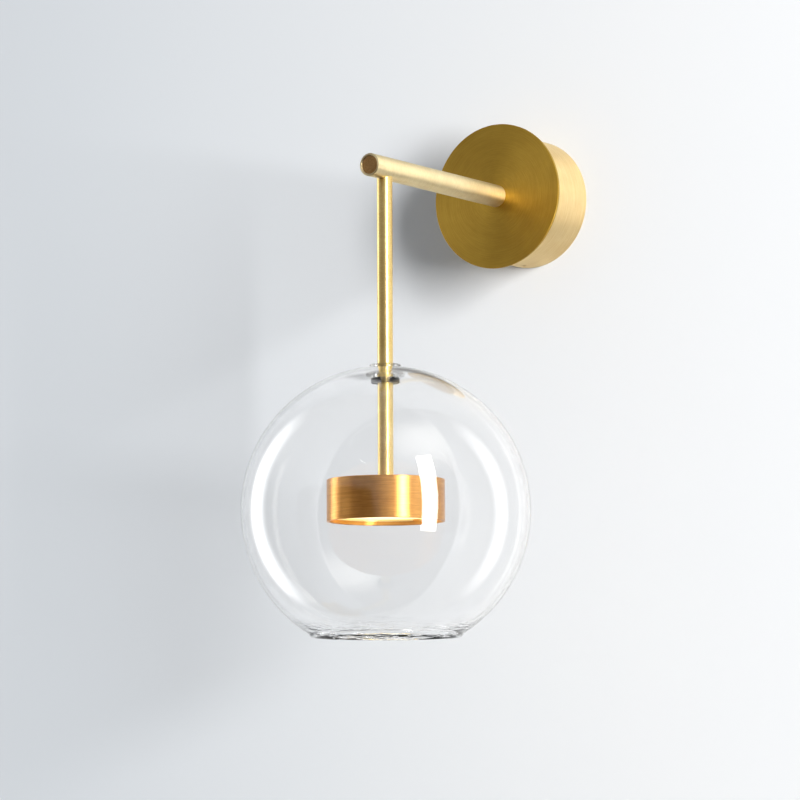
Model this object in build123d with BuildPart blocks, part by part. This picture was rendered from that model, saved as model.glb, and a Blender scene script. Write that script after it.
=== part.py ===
from build123d import *

import os
from math import acos, asin, cos, degrees, radians, sin, sqrt, tan

# Globe wall sconce: a round brass canopy carries a straight arm, and a thin rod drops from the arm's front end.
# The rod passes through the top of a clear glass globe and ends in a flat round lamp head inside it.
# +X is to the right, +Y into the wall and +Z up. The wall is the plane y = 0, and the origin is the centre of
# the cable hole. The drop axis is the vertical line through the rod. Threads are plain cylinders.

# Sizes in millimetres

# Canopy
canopy_depth = 49.4  # wall to the front of the disc
disc_d = 106.0
disc_t = 2.0
disc_edge = 0.35
drum_d = 94.0
drum_wall = 2.5
drum_front_t = 2.5
drum_edge = 0.5
grub_y = 12.0  # from the wall
grub_d = 4.0
grub_point_d = 2.6
grub_point_lead = 0.8  # point that shows between the thread and the tab
grub_past_tab = 0.7
grub_inset = 0.2
grub_socket_af = 2.0
grub_socket_depth = 2.0

# Wall bracket
plate_t = 1.5
plate_gap = 1.5  # radial, to the drum's inside
cable_hole_d = 20.0
slot_spacing = 60.0
slot_length = 12.0
slot_width = 5.0
tab_width = 15.0
tab_past_grub = 5.0  # from the grub screw's axis to the tab's end
tab_gap = 3.5  # to the drum's inside
tab_relief = 1.5
tab_bend_inside = 1.0
tab_bend_outside = 1.4

# Arm
arm_d = 16.0
arm_wall = 1.5
arm_length = 163.2  # front of the disc to the arm's front end
arm_rim_edge = 0.25
plug_fit = 0.05  # radial, of the plugs in the arm's bore
rear_bush_length = 14.0
arm_nipple_d = 10.0
arm_nipple_bore = 7.0
arm_nipple_behind = 9.0  # how far it stands out behind the drum's front wall
arm_nipple_in_bush = 12.0
lock_washer_d = 16.0
lock_washer_t = 1.0
lock_washer_teeth = 12
lock_washer_notch = 1.2
arm_nut_af = 14.0
arm_nut_t = 4.0
end_cap_t = 4.0
end_cap_inset = 0.5
end_cap_edge = 0.4
elbow_behind = 12.0  # from the drop axis back to the block's rear face
wireway_d = 6.0

# Drop rod
drop_setback = 18.6  # the arm's front end to the drop axis
rod_d = 10.8
rod_bore = 6.0
rod_tap_depth = 10.0
rod_nipple_d = 8.0
rod_nipple_bore = 5.0
upper_nipple_in_arm = 2.9  # past the arm's wall, into the elbow block
upper_nipple_in_rod = 9.6
lower_nipple_in_rod = 9.5

# Globe and what carries it
globe_d = 200.0
globe_wall = 2.5
globe_drop = 238.5  # the arm's axis to the globe's centre
globe_hole_d = 22.0
globe_hole_edge = 0.8
mouth_d = 105.8  # over the lip
lip_d = 4.6
lip_blend = 3.0
bush_proud = 1.1  # above the top of the glass
bush_flange_d = 27.0
bush_flange_t = 2.2
bush_neck_d = 20.5
bush_neck_h = 2.26
bush_seat_gap = 0.3
bush_rib = 0.7
bush_groove_depth = 0.8
bush_groove_count = 3
stop_ring_d = 20.0
stop_ring_h = 3.4
stop_ring_edge = 0.9
clip_section = 1.4
clip_seat_depth = 1.6
clip_groove_depth = 0.5
clip_gap = 4.0

# Lamp head
head_drop = 217.2  # the arm's axis to the head's top
head_d = 81.5
head_h = 28.9
head_wall = 2.0
head_top_t = 3.0
head_edge = 0.6
head_rim_edge = 0.4
head_washer_d = 16.0
head_washer_t = 1.0
head_nut_af = 13.0
head_nut_t = 4.0
nipple_past_nut = 2.0
heat_sink_t = 9.0
heat_sink_fit = 0.25
heat_sink_hole_d = 24.0
led_board_gap = 3.75  # radial, to the head's inside
led_board_t = 1.6
led_length = 3.5
led_width = 2.8
led_height = 0.8
led_counts = (18, 9)  # on the outer ring and on the inner ring
led_ring_inset = 12.0  # from the board's edge to the outer ring
led_ring_step = 10.0
head_screw_count = 3
head_screw_inset = 7.0  # from the board's edge
board_screw_inset = 4.0
connector_length = 10.0
connector_width = 8.0
connector_height = 5.0
diffuser_recess = 4.0
diffuser_t = 2.5
diffuser_fit = 0.15
reflector_wall = 1.2
reflector_board_gap = 0.4
diffuser_ring_width = 1.6
diffuser_ring_t = 1.2
diffuser_ring_groove = 0.5
diffuser_ring_gap = 6.0

# Driver and terminal in the canopy
driver_length = 48.0
driver_height = 24.0
driver_depth = 18.0
driver_gap = 2.06  # its upper corners to the drum's inside
driver_wall = 1.5
lid_t = 1.5
lid_lip = 1.2
ear_length = 7.0
ear_width = 10.0
ear_t = 2.5
post_height = 1.5
post_d = 3.0
post_margin = 5.0
board_t = 1.6
board_gap = 1.0
transformer_length = 16.0
transformer_width = 14.0
transformer_height = 11.0
transformer_x = 10.0
transformer_edge = 1.0
capacitor_d = 8.0
capacitor_height = 10.5
capacitor_edge = 0.6
capacitor_xs = (-16.0, -6.0)
terminal_drop = 15.0  # its upper side below the canopy's centre
terminal_length = 30.0
terminal_width = 16.0
terminal_height = 13.0
moulded_edge = 1.0
pole_spacing = 10.0
tube_d = 4.6
tube_bore = 3.0
tube_inset = 1.0
tube_y = 8.0
clamp_screw_d = 2.5
clamp_screw_length = 5.0
clamp_screw_spread = 4.0
earth_x = 24.0
earth_drop = 26.0
lug_t = 0.8
lug_ring_d = 8.0
lug_barrel_d = 3.6
lug_barrel_bore = 2.4
lug_barrel_start = 6.0
lug_barrel_length = 6.0

# Small screws, leads and fits
m3_d = 3.0
m3_head_d = 5.6
m3_head_h = 2.0
block_screw_d = 2.5
block_screw_head_d = 4.4
block_screw_head_h = 1.8
m4_d = 4.0
m4_head_d = 7.0
m4_head_h = 2.4
recess_share = 0.6  # length of a cross recess over its head's diameter
recess_slit_share = 0.15
head_chamfer_share = 0.25  # chamfer over the head's height
nut_turned_share = 1.07  # turned corners over the flats
sink_screw_in_head = 2.0
sink_screw_counterbore = 5.0
tap_past_screw = 0.25
board_screw_length = 5.0
screw_short = 0.2  # screw tips stop this far inside the plate's back
cable_d = 3.0
cable_in_case = 8.0
cable_x = -17.0
cable_turn_z = -1.0
cable_turn_r = 17.0
cable_elbow_r = 6.0
cable_past_board = 2.2
lead_d = 2.2
lead_in_case = 5.0
lead_in_terminal = 6.0
lead_bow = 1.6
earth_rise = 7.5  # above the terminal's upper side
earth_crest = 6.0  # above the barrel
earth_straight = 1.5
bend_share = 0.45  # of a straight run, used up by the bend at one end
thread_clearance = 0.05  # radial
hole_clearance = 0.2  # radial, for a screw or nipple that passes through
running_clearance = 0.05  # radial, of the bush and the stop ring on the rod
glass_clearance = 0.1  # radial, of the glass on the bush

# Places and sizes that follow from the above

disc_r = disc_d / 2
drum_r = drum_d / 2
drum_inner_r = drum_r - drum_wall
drum_depth = canopy_depth - disc_t
drum_front_back = drum_depth - drum_front_t
plate_r = drum_inner_r - plate_gap
tab_outer = drum_inner_r - tab_gap
tab_inner = tab_outer - plate_t
tab_reach = grub_y + tab_past_grub
grub_point_length = grub_point_lead + plate_t + grub_past_tab
grub_length = drum_r - grub_inset - tab_inner + grub_past_tab
arm_r = arm_d / 2
arm_bore_r = arm_r - arm_wall
plug_r = arm_bore_r - plug_fit
arm_end = canopy_depth + arm_length
arm_hole_r = arm_nipple_d / 2 + hole_clearance
drop_out = arm_end - drop_setback
elbow_start = drop_out - elbow_behind
elbow_end = arm_end - end_cap_inset - end_cap_t
rod_r = rod_d / 2
wireway_r = wireway_d / 2
rod_thread_r = rod_nipple_d / 2 + thread_clearance
upper_nipple_top = -arm_bore_r + upper_nipple_in_arm
globe_r = globe_d / 2
globe_inner_r = globe_r - globe_wall
globe_hole_r = globe_hole_d / 2
globe_top = globe_r - globe_drop
bush_top = globe_top + bush_proud
flange_r = bush_flange_d / 2
flange_top = sqrt(globe_inner_r**2 - flange_r**2) - globe_drop - bush_seat_gap
flange_bottom = flange_top - bush_flange_t
stop_ring_top = flange_bottom - bush_neck_h
stop_ring_bottom = stop_ring_top - stop_ring_h
head_r = head_d / 2
head_inner_r = head_r - head_wall
head_top = -head_drop
head_bottom = head_top - head_h
head_ceiling = head_top - head_top_t
sink_bottom = head_ceiling - heat_sink_t
board_bottom = sink_bottom - led_board_t
led_board_r = head_inner_r - led_board_gap
led_outer_r = led_board_r - led_ring_inset
led_rings = [(count, led_outer_r - i * led_ring_step) for i, count in enumerate(led_counts)]
sink_screw_length = heat_sink_t - sink_screw_counterbore + sink_screw_in_head
diffuser_bottom = head_bottom + diffuser_recess
diffuser_top = diffuser_bottom + diffuser_t
case_floor = plate_t + driver_wall
board_back = case_floor + post_height
board_face = board_back + board_t
case_front = plate_t + driver_depth
driver_lift = sqrt((drum_inner_r - driver_gap) ** 2 - (driver_length / 2) ** 2) - driver_height
driver_middle = driver_lift + driver_height / 2
ear_x = driver_length / 2 + ear_length / 2
terminal_middle = -terminal_drop - terminal_width / 2
pole_xs = [-pole_spacing, 0.0, pole_spacing]
partition_xs = [-pole_spacing / 2, pole_spacing / 2]
driver_screw_spots = [(-ear_x, driver_middle), (ear_x, driver_middle)]
terminal_screw_spots = [(x, terminal_middle) for x in partition_xs]
earth_spot = (earth_x, -earth_drop)

# The vertical plane through the drop axis, seen from the front: its own x is X and its own y is Z.
drop_section = Plane(origin=(0, -drop_out, 0), x_dir=(1, 0, 0), z_dir=(0, -1, 0))
drop_axis = Axis((0, -drop_out, 0), (0, 0, 1))


def level(height):
    """The horizontal plane at a height, centred on the drop axis and facing up."""
    return Plane(origin=(0, -drop_out, height), x_dir=(1, 0, 0), z_dir=(0, 0, 1))


def underside(height):
    """The same plane facing down."""
    return Plane(origin=(0, -drop_out, height), x_dir=(1, 0, 0), z_dir=(0, 0, -1))


def ring_of_spots(count, circle_r, start=0.0):
    """Evenly spaced points on a circle."""
    angles = [radians(start + 360 * i / count) for i in range(count)]
    return [(circle_r * cos(a), circle_r * sin(a)) for a in angles]


head_screw_spots = ring_of_spots(head_screw_count, led_board_r - head_screw_inset)
board_screw_spots = ring_of_spots(head_screw_count, led_board_r - board_screw_inset, 180 / head_screw_count)


def tube(plane, outer_r, inner_r, length):
    """A plain tube that stands on a plane."""
    with BuildPart() as piece:
        with BuildSketch(plane):
            Circle(outer_r)
            Circle(inner_r, mode=Mode.SUBTRACT)
        extrude(amount=length)
    return piece


def hex_nut(plane, across_flats, hole_r, thickness):
    """A hexagon nut with its corners turned down on both faces."""
    with BuildPart() as piece:
        with BuildSketch(plane):
            RegularPolygon(across_flats / 2, 6, major_radius=False)
        extrude(amount=thickness)
        with BuildSketch(plane):
            Circle(across_flats / 2 * nut_turned_share)
        extrude(amount=thickness, mode=Mode.INTERSECT)
        with BuildSketch(plane):
            Circle(hole_r)
        extrude(amount=thickness, mode=Mode.SUBTRACT)
    return piece


def pan_screws(seat, spots, head_d, head_h, shank_d, shank_length):
    """Cross-recessed screws. The seat plane faces the heads, and the shanks go in behind it."""
    bar = head_d * recess_share
    slit = head_d * recess_slit_share
    with BuildPart() as screws:
        with BuildSketch(seat):
            with Locations(*spots):
                Circle(head_d / 2)
        extrude(amount=head_h)
        rims = [e for e in screws.edges() if abs(seat.to_local_coords(e.center()).Z - head_h) < 0.01]
        chamfer(rims, head_h * head_chamfer_share)
        with BuildSketch(seat):
            with Locations(*spots):
                Circle(shank_d / 2)
        extrude(amount=-shank_length)
        with BuildSketch(seat.offset(head_h)):
            with Locations(*spots):
                Rectangle(bar, slit)
                Rectangle(slit, bar)
        extrude(amount=-head_h / 2, mode=Mode.SUBTRACT)
    return screws


# Wall bracket

with BuildPart() as wall_bracket:
    with BuildSketch(Plane.XZ):
        Circle(plate_r)
        for side, edge in ((1, Align.MIN), (-1, Align.MAX)):
            with Locations((0, side * tab_inner)):
                Rectangle(
                    tab_width + 2 * tab_relief, plate_r, align=(Align.CENTER, edge), mode=Mode.SUBTRACT
                )
        Circle(cable_hole_d / 2, mode=Mode.SUBTRACT)
        with GridLocations(slot_spacing, 1, 2, 1):
            SlotOverall(slot_length, slot_width, mode=Mode.SUBTRACT)
        with Locations(*driver_screw_spots):
            Circle(m3_d / 2 + thread_clearance, mode=Mode.SUBTRACT)
        with Locations(*terminal_screw_spots):
            Circle(block_screw_d / 2 + thread_clearance, mode=Mode.SUBTRACT)
        with Locations(earth_spot):
            Circle(m4_d / 2 + thread_clearance, mode=Mode.SUBTRACT)
    extrude(amount=plate_t)
    for side in (1, -1):
        with BuildSketch(Plane.XZ):
            with Locations((0, side * (tab_inner + plate_t / 2))):
                Rectangle(tab_width, plate_t)
        extrude(amount=tab_reach)
        bends = wall_bracket.edges().filter_by(Axis.X)
        inside = bends.sort_by_distance((0, -plate_t, side * tab_inner))[0]
        fillet(inside, tab_bend_inside)
        outside = wall_bracket.edges().filter_by(Axis.X).sort_by_distance((0, 0, side * tab_outer))[0]
        fillet(outside, tab_bend_outside)
    with Locations((0, -grub_y, 0)):
        Cylinder(grub_point_d / 2 + hole_clearance, 2 * drum_r, mode=Mode.SUBTRACT)

# Canopy

with BuildPart() as canopy_drum:
    with BuildSketch(Plane.XY) as drum_profile:
        with BuildLine():
            Polyline(
                (arm_hole_r, -drum_depth),
                (drum_r, -drum_depth),
                (drum_r, 0),
                (drum_inner_r, 0),
                (drum_inner_r, -drum_front_back),
                (arm_hole_r, -drum_front_back),
                close=True,
            )
        make_face()
        fillet(drum_profile.vertices().sort_by_distance((drum_r, 0))[0], drum_edge)
        fillet(drum_profile.vertices().sort_by_distance((drum_inner_r, -drum_front_back))[0], drum_edge)
    revolve(axis=Axis.Y)
    with Locations((0, -grub_y, 0)):
        Cylinder(grub_d / 2 + thread_clearance, drum_d + drum_wall, mode=Mode.SUBTRACT)

with BuildPart() as canopy_grub_screws:
    for side in (1, -1):
        end = Plane(origin=(0, -grub_y, side * (drum_r - grub_inset)), x_dir=(1, 0, 0), z_dir=(0, 0, -side))
        with BuildSketch(end):
            Circle(grub_d / 2)
        extrude(amount=grub_length - grub_point_length)
        with BuildSketch(end.offset(grub_length - grub_point_length)):
            Circle(grub_point_d / 2)
        extrude(amount=grub_point_length)
        with BuildSketch(end):
            RegularPolygon(grub_socket_af / 2, 6, major_radius=False)
        extrude(amount=grub_socket_depth, mode=Mode.SUBTRACT)

with BuildPart() as front_disc:
    with BuildSketch(Plane.XZ.offset(drum_depth)):
        Circle(disc_r)
        Circle(arm_hole_r, mode=Mode.SUBTRACT)
    extrude(amount=disc_t)
    fillet(front_disc.edges().filter_by(GeomType.CIRCLE).group_by(SortBy.RADIUS)[-1], disc_edge)

# Arm

with BuildPart() as arm_tube:
    with BuildSketch(Plane.XZ.offset(canopy_depth)):
        Circle(arm_r)
        Circle(arm_bore_r, mode=Mode.SUBTRACT)
    extrude(amount=arm_length)
    fillet(arm_tube.edges().group_by(Axis.Y)[0], arm_rim_edge)
    with BuildSketch(level(-arm_d)):
        Circle(rod_nipple_d / 2 + hole_clearance)
    extrude(amount=arm_d, mode=Mode.SUBTRACT)

arm_rear_bush = tube(
    Plane.XZ.offset(canopy_depth), plug_r, arm_nipple_d / 2 + thread_clearance, rear_bush_length
)
arm_nipple = tube(
    Plane.XZ.offset(drum_front_back - arm_nipple_behind),
    arm_nipple_d / 2,
    arm_nipple_bore / 2,
    arm_nipple_behind + drum_front_t + disc_t + arm_nipple_in_bush,
)
arm_lock_nut = hex_nut(
    Plane.XZ.offset(drum_front_back - lock_washer_t - arm_nut_t),
    arm_nut_af,
    arm_nipple_d / 2 + thread_clearance,
    arm_nut_t,
)

with BuildPart() as arm_lock_washer:
    with BuildSketch(Plane.XZ.offset(drum_front_back - lock_washer_t)):
        Circle(lock_washer_d / 2)
        Circle(arm_hole_r, mode=Mode.SUBTRACT)
        with PolarLocations(lock_washer_d / 2, lock_washer_teeth):
            Rectangle(2 * lock_washer_notch, lock_washer_notch, mode=Mode.SUBTRACT)
    extrude(amount=lock_washer_t)

with BuildPart() as elbow_block:
    with BuildSketch(Plane.XZ.offset(elbow_start)):
        Circle(plug_r)
    extrude(amount=elbow_end - elbow_start)
    with BuildSketch(Plane.XZ.offset(elbow_start)):
        Circle(wireway_r)
    extrude(amount=elbow_behind + wireway_r, mode=Mode.SUBTRACT)
    with BuildSketch(level(-arm_r)):
        Circle(rod_thread_r)
    extrude(amount=arm_r + upper_nipple_top, mode=Mode.SUBTRACT)
    with BuildSketch(level(-arm_r)):
        Circle(wireway_r)
    extrude(amount=arm_r, mode=Mode.SUBTRACT)

with BuildPart() as arm_end_cap:
    with BuildSketch(Plane.XZ.offset(elbow_end)):
        Circle(plug_r)
    extrude(amount=end_cap_t)
    chamfer(arm_end_cap.edges().group_by(Axis.Y)[0], end_cap_edge)

# Drop rod

clip_top = stop_ring_bottom + clip_seat_depth
clip_bottom = clip_top - clip_section
clip_inner_r = rod_r - clip_groove_depth
clip_outer_r = clip_inner_r + clip_section

with BuildPart() as drop_rod:
    with BuildSketch(level(head_top)):
        Circle(rod_r)
        Circle(rod_bore / 2, mode=Mode.SUBTRACT)
    extrude(amount=head_drop)
    with BuildSketch(Plane.XZ.offset(drop_out - rod_d)):
        Circle(arm_r)
    extrude(amount=2 * rod_d, mode=Mode.SUBTRACT)
    with BuildSketch(level(-arm_r - rod_tap_depth)):
        Circle(rod_thread_r)
    extrude(amount=arm_r + rod_tap_depth, mode=Mode.SUBTRACT)
    with BuildSketch(level(head_top)):
        Circle(rod_thread_r)
    extrude(amount=rod_tap_depth, mode=Mode.SUBTRACT)
    with BuildSketch(drop_section):
        with Locations((clip_inner_r - thread_clearance, clip_bottom - thread_clearance)):
            Rectangle(rod_r, clip_section + 2 * thread_clearance, align=(Align.MIN, Align.MIN))
    revolve(axis=drop_axis, mode=Mode.SUBTRACT)

rod_upper_nipple = tube(
    level(-arm_r - upper_nipple_in_rod),
    rod_nipple_d / 2,
    rod_nipple_bore / 2,
    arm_r + upper_nipple_in_rod + upper_nipple_top,
)
lower_nipple_bottom = head_ceiling - head_washer_t - head_nut_t - nipple_past_nut
rod_lower_nipple = tube(
    level(lower_nipple_bottom),
    rod_nipple_d / 2,
    rod_nipple_bore / 2,
    head_top + lower_nipple_in_rod - lower_nipple_bottom,
)

# Globe, its bush, and the ring and clip under the bush

with BuildPart() as globe_clip:
    with BuildSketch(level(clip_bottom)):
        Circle(clip_outer_r)
        Circle(clip_inner_r, mode=Mode.SUBTRACT)
        with Locations((-clip_outer_r, 0)):
            Rectangle(3 * clip_section, clip_gap, mode=Mode.SUBTRACT)
    extrude(amount=clip_section)

with BuildPart() as globe_stop_ring:
    with BuildSketch(level(stop_ring_bottom)):
        Circle(stop_ring_d / 2)
    extrude(amount=stop_ring_h)
    fillet(globe_stop_ring.edges(), stop_ring_edge)
    with BuildSketch(level(stop_ring_bottom)):
        Circle(rod_r + running_clearance)
    extrude(amount=stop_ring_h, mode=Mode.SUBTRACT)
    with BuildSketch(level(stop_ring_bottom)):
        Circle(clip_outer_r + hole_clearance)
    extrude(amount=clip_seat_depth, mode=Mode.SUBTRACT)

bush_bore_r = rod_r + running_clearance
bush_sleeve_r = globe_hole_r - glass_clearance
bush_height = bush_top - stop_ring_top
bush_groove_h = (bush_height - (bush_groove_count + 1) * bush_rib) / bush_groove_count

with BuildPart() as globe_bush:
    with BuildSketch(drop_section) as bush_profile:
        with BuildLine():
            Polyline(
                (bush_bore_r, bush_top),
                (bush_sleeve_r, bush_top),
                (bush_sleeve_r, flange_top),
                (flange_r, flange_top),
                (flange_r, flange_bottom),
                (bush_neck_d / 2, flange_bottom),
                (bush_neck_d / 2, stop_ring_top),
                (bush_bore_r, stop_ring_top),
                close=True,
            )
        make_face()
        fillet(bush_profile.vertices().sort_by_distance((bush_sleeve_r, bush_top))[0], bush_groove_depth)
        for i in range(bush_groove_count):
            with Locations((bush_bore_r, bush_top - bush_rib - i * (bush_groove_h + bush_rib))):
                Rectangle(
                    bush_groove_depth, bush_groove_h, align=(Align.MIN, Align.MAX), mode=Mode.SUBTRACT
                )
    revolve(axis=drop_axis)

lip_r = lip_d / 2
lip_out = mouth_d / 2 - lip_r
wall_middle_r = globe_r - globe_wall / 2
lip_angle = degrees(asin(lip_out / wall_middle_r))
lip_height = -globe_drop - sqrt(wall_middle_r**2 - lip_out**2)

with BuildPart() as glass_globe:
    with BuildSketch(drop_section) as glass_profile:
        with BuildLine():
            centre = (0, -globe_drop)
            outer_start = degrees(acos(globe_hole_r / globe_r))
            inner_start = degrees(acos(globe_hole_r / globe_inner_r))
            outer = CenterArc(centre, globe_r, outer_start, lip_angle - 90 - outer_start)
            inner = CenterArc(centre, globe_inner_r, inner_start, lip_angle - 90 - inner_start)
            Line(outer @ 0, inner @ 0)
            Line(outer @ 1, inner @ 1)
        make_face()
        fillet(glass_profile.vertices().sort_by(Axis.X)[:2], globe_hole_edge)
        with Locations(Location((lip_out, lip_height, 0), (0, 0, 90 + lip_angle))):
            Circle(lip_r)
        fillet(glass_profile.vertices().sort_by_distance((lip_out, lip_height))[:2], lip_blend)
    revolve(axis=drop_axis)

# Lamp head

head_hole_r = rod_nipple_d / 2 + hole_clearance
groove_top = diffuser_bottom
groove_bottom = diffuser_bottom - diffuser_ring_t
m3_thread_r = m3_d / 2 + thread_clearance
m3_hole_r = m3_d / 2 + hole_clearance
m3_sunk_r = m3_head_d / 2 + 2 * hole_clearance

with BuildPart() as head_housing:
    with BuildSketch(drop_section) as head_profile:
        with BuildLine():
            Polyline(
                (head_hole_r, head_top),
                (head_r, head_top),
                (head_r, head_bottom),
                (head_inner_r, head_bottom),
                (head_inner_r, groove_bottom),
                (head_inner_r + diffuser_ring_groove, groove_bottom),
                (head_inner_r + diffuser_ring_groove, groove_top),
                (head_inner_r, groove_top),
                (head_inner_r, head_ceiling),
                (head_hole_r, head_ceiling),
                close=True,
            )
        make_face()
        fillet(head_profile.vertices().sort_by_distance((head_r, head_top))[0], head_edge)
        fillet(head_profile.vertices().sort_by_distance((head_r, head_bottom))[0], head_rim_edge)
        fillet(head_profile.vertices().sort_by_distance((head_inner_r, head_bottom))[0], head_rim_edge)
    revolve(axis=drop_axis)
    with BuildSketch(level(head_ceiling)):
        with Locations(*head_screw_spots):
            Circle(m3_thread_r)
    extrude(amount=sink_screw_in_head + tap_past_screw, mode=Mode.SUBTRACT)

head_washer = tube(level(head_ceiling - head_washer_t), head_washer_d / 2, head_hole_r, head_washer_t)
head_lock_nut = hex_nut(
    level(head_ceiling - head_washer_t - head_nut_t), head_nut_af, rod_thread_r, head_nut_t
)

with BuildPart() as heat_sink:
    with BuildSketch(level(sink_bottom)):
        Circle(head_inner_r - heat_sink_fit)
        Circle(heat_sink_hole_d / 2, mode=Mode.SUBTRACT)
        with Locations(*head_screw_spots):
            Circle(m3_hole_r, mode=Mode.SUBTRACT)
        with Locations(*board_screw_spots):
            Circle(m3_thread_r, mode=Mode.SUBTRACT)
    extrude(amount=heat_sink_t)
    with BuildSketch(level(sink_bottom)):
        with Locations(*head_screw_spots):
            Circle(m3_sunk_r)
    extrude(amount=sink_screw_counterbore, mode=Mode.SUBTRACT)

heat_sink_screws = pan_screws(
    underside(sink_bottom + sink_screw_counterbore),
    head_screw_spots,
    m3_head_d,
    m3_head_h,
    m3_d,
    sink_screw_length,
)

with BuildPart() as led_board:
    with BuildSketch(level(board_bottom)):
        Circle(led_board_r)
        Circle(wireway_r, mode=Mode.SUBTRACT)
        with Locations(*board_screw_spots):
            Circle(m3_hole_r, mode=Mode.SUBTRACT)
        with Locations(*head_screw_spots):
            Circle(m3_sunk_r, mode=Mode.SUBTRACT)
    extrude(amount=led_board_t)

led_board_screws = pan_screws(
    underside(board_bottom), board_screw_spots, m3_head_d, m3_head_h, m3_d, board_screw_length
)

with BuildPart() as led_chips:
    with BuildSketch(underside(board_bottom)):
        for count, ring_r in led_rings:
            with PolarLocations(ring_r, count):
                Rectangle(led_width, led_length)
    extrude(amount=led_height)

with BuildPart() as led_connector:
    with BuildSketch(underside(board_bottom)):
        Rectangle(connector_length, connector_width)
    extrude(amount=connector_height)
    fillet(led_connector.edges().filter_by(Axis.Z), moulded_edge)
    with BuildSketch(underside(board_bottom)):
        Circle(cable_d / 2 + hole_clearance)
    extrude(amount=connector_height / 2, mode=Mode.SUBTRACT)

reflector_r = head_inner_r - diffuser_fit

with BuildPart() as reflector_ring:
    with BuildSketch(drop_section):
        with BuildLine():
            Polyline(
                (reflector_r, sink_bottom),
                (led_board_r + reflector_board_gap, sink_bottom),
                (led_board_r + reflector_board_gap, board_bottom),
                (reflector_r - reflector_wall, diffuser_top),
                (reflector_r, diffuser_top),
                close=True,
            )
        make_face()
    revolve(axis=drop_axis)

with BuildPart() as diffuser:
    with BuildSketch(level(diffuser_bottom)):
        Circle(reflector_r)
    extrude(amount=diffuser_t)

with BuildPart() as diffuser_ring:
    with BuildSketch(level(groove_bottom)):
        Circle(head_inner_r + diffuser_ring_groove - thread_clearance)
        Circle(head_inner_r + diffuser_ring_groove - diffuser_ring_width, mode=Mode.SUBTRACT)
        with Locations((0, head_inner_r)):
            Rectangle(diffuser_ring_gap, 4 * diffuser_ring_width, mode=Mode.SUBTRACT)
    extrude(amount=diffuser_ring_t)

# LED driver

cable_start = (cable_x, -board_face - cable_d / 2, driver_lift + cable_in_case)
lead_y = board_face + lead_d / 2
lead_xs = pole_xs[:2]

with BuildPart() as driver_case:
    with BuildSketch(Plane.XZ.offset(plate_t)):
        with Locations((0, driver_middle)):
            Rectangle(driver_length, driver_height)
    extrude(amount=driver_depth)
    fillet(driver_case.edges().filter_by(Axis.Y), driver_wall)
    with BuildSketch(Plane.XZ.offset(case_floor)):
        with Locations((0, driver_middle)):
            Rectangle(driver_length - 2 * driver_wall, driver_height - 2 * driver_wall)
    extrude(amount=driver_depth, mode=Mode.SUBTRACT)
    with BuildSketch(Plane.XZ.offset(case_floor)):
        with Locations((0, driver_middle)):
            with GridLocations(driver_length - 2 * post_margin, driver_height - 2 * post_margin, 2, 2):
                Circle(post_d / 2)
    extrude(amount=post_height)
    with BuildSketch(Plane.XZ.offset(plate_t)):
        for spot in driver_screw_spots:
            with Locations(spot):
                Rectangle(ear_length, ear_width)
    extrude(amount=ear_t)
    with BuildSketch(Plane.XZ):
        with Locations(*driver_screw_spots):
            Circle(m3_hole_r)
    extrude(amount=plate_t + ear_t, mode=Mode.SUBTRACT)
    for x, y, hole_d in [(cable_x, -cable_start[1], cable_d)] + [(x, lead_y, lead_d) for x in lead_xs]:
        with BuildSketch(Plane(origin=(x, -y, driver_lift), x_dir=(1, 0, 0), z_dir=(0, 0, 1))):
            Circle(hole_d / 2 + hole_clearance)
        extrude(amount=driver_wall, mode=Mode.SUBTRACT)

with BuildPart() as driver_lid:
    with BuildSketch(Plane.XZ.offset(case_front)):
        with Locations((0, driver_middle)):
            RectangleRounded(driver_length, driver_height, driver_wall)
    extrude(amount=lid_t)
    inside_length = driver_length - 2 * driver_wall - 2 * hole_clearance
    inside_height = driver_height - 2 * driver_wall - 2 * hole_clearance
    with BuildSketch(Plane.XZ.offset(case_front - lid_lip)):
        with Locations((0, driver_middle)):
            Rectangle(inside_length, inside_height)
            Rectangle(inside_length - 2 * lid_lip, inside_height - 2 * lid_lip, mode=Mode.SUBTRACT)
    extrude(amount=lid_lip)

with BuildPart() as driver_board:
    with BuildSketch(Plane.XZ.offset(board_back)):
        with Locations((0, driver_middle)):
            Rectangle(
                driver_length - 2 * driver_wall - 2 * board_gap, driver_height - 2 * driver_wall - 2 * board_gap
            )
    extrude(amount=board_t)

with BuildPart() as driver_transformer:
    with BuildSketch(Plane.XZ.offset(board_face)):
        with Locations((transformer_x, driver_middle)):
            Rectangle(transformer_length, transformer_width)
    extrude(amount=transformer_height)
    chamfer(driver_transformer.edges().group_by(Axis.Y)[0], transformer_edge)

with BuildPart() as driver_capacitors:
    with BuildSketch(Plane.XZ.offset(board_face)):
        with Locations(*[(x, driver_middle + capacitor_d / 2) for x in capacitor_xs]):
            Circle(capacitor_d / 2)
    extrude(amount=capacitor_height)
    fillet(driver_capacitors.edges().group_by(Axis.Y)[0], capacitor_edge)

driver_screws = pan_screws(
    Plane.XZ.offset(plate_t + ear_t),
    driver_screw_spots,
    m3_head_d,
    m3_head_h,
    m3_d,
    plate_t + ear_t - screw_short,
)

# Mains terminal and earth

tube_length = terminal_width - 2 * tube_inset
clamp_spots = [
    (x, terminal_middle + side * clamp_screw_spread) for x in pole_xs for side in (1, -1)
]
clamp_tip = tube_y + lead_d / 2
clamp_hole_r = clamp_screw_d / 2 + thread_clearance

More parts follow.
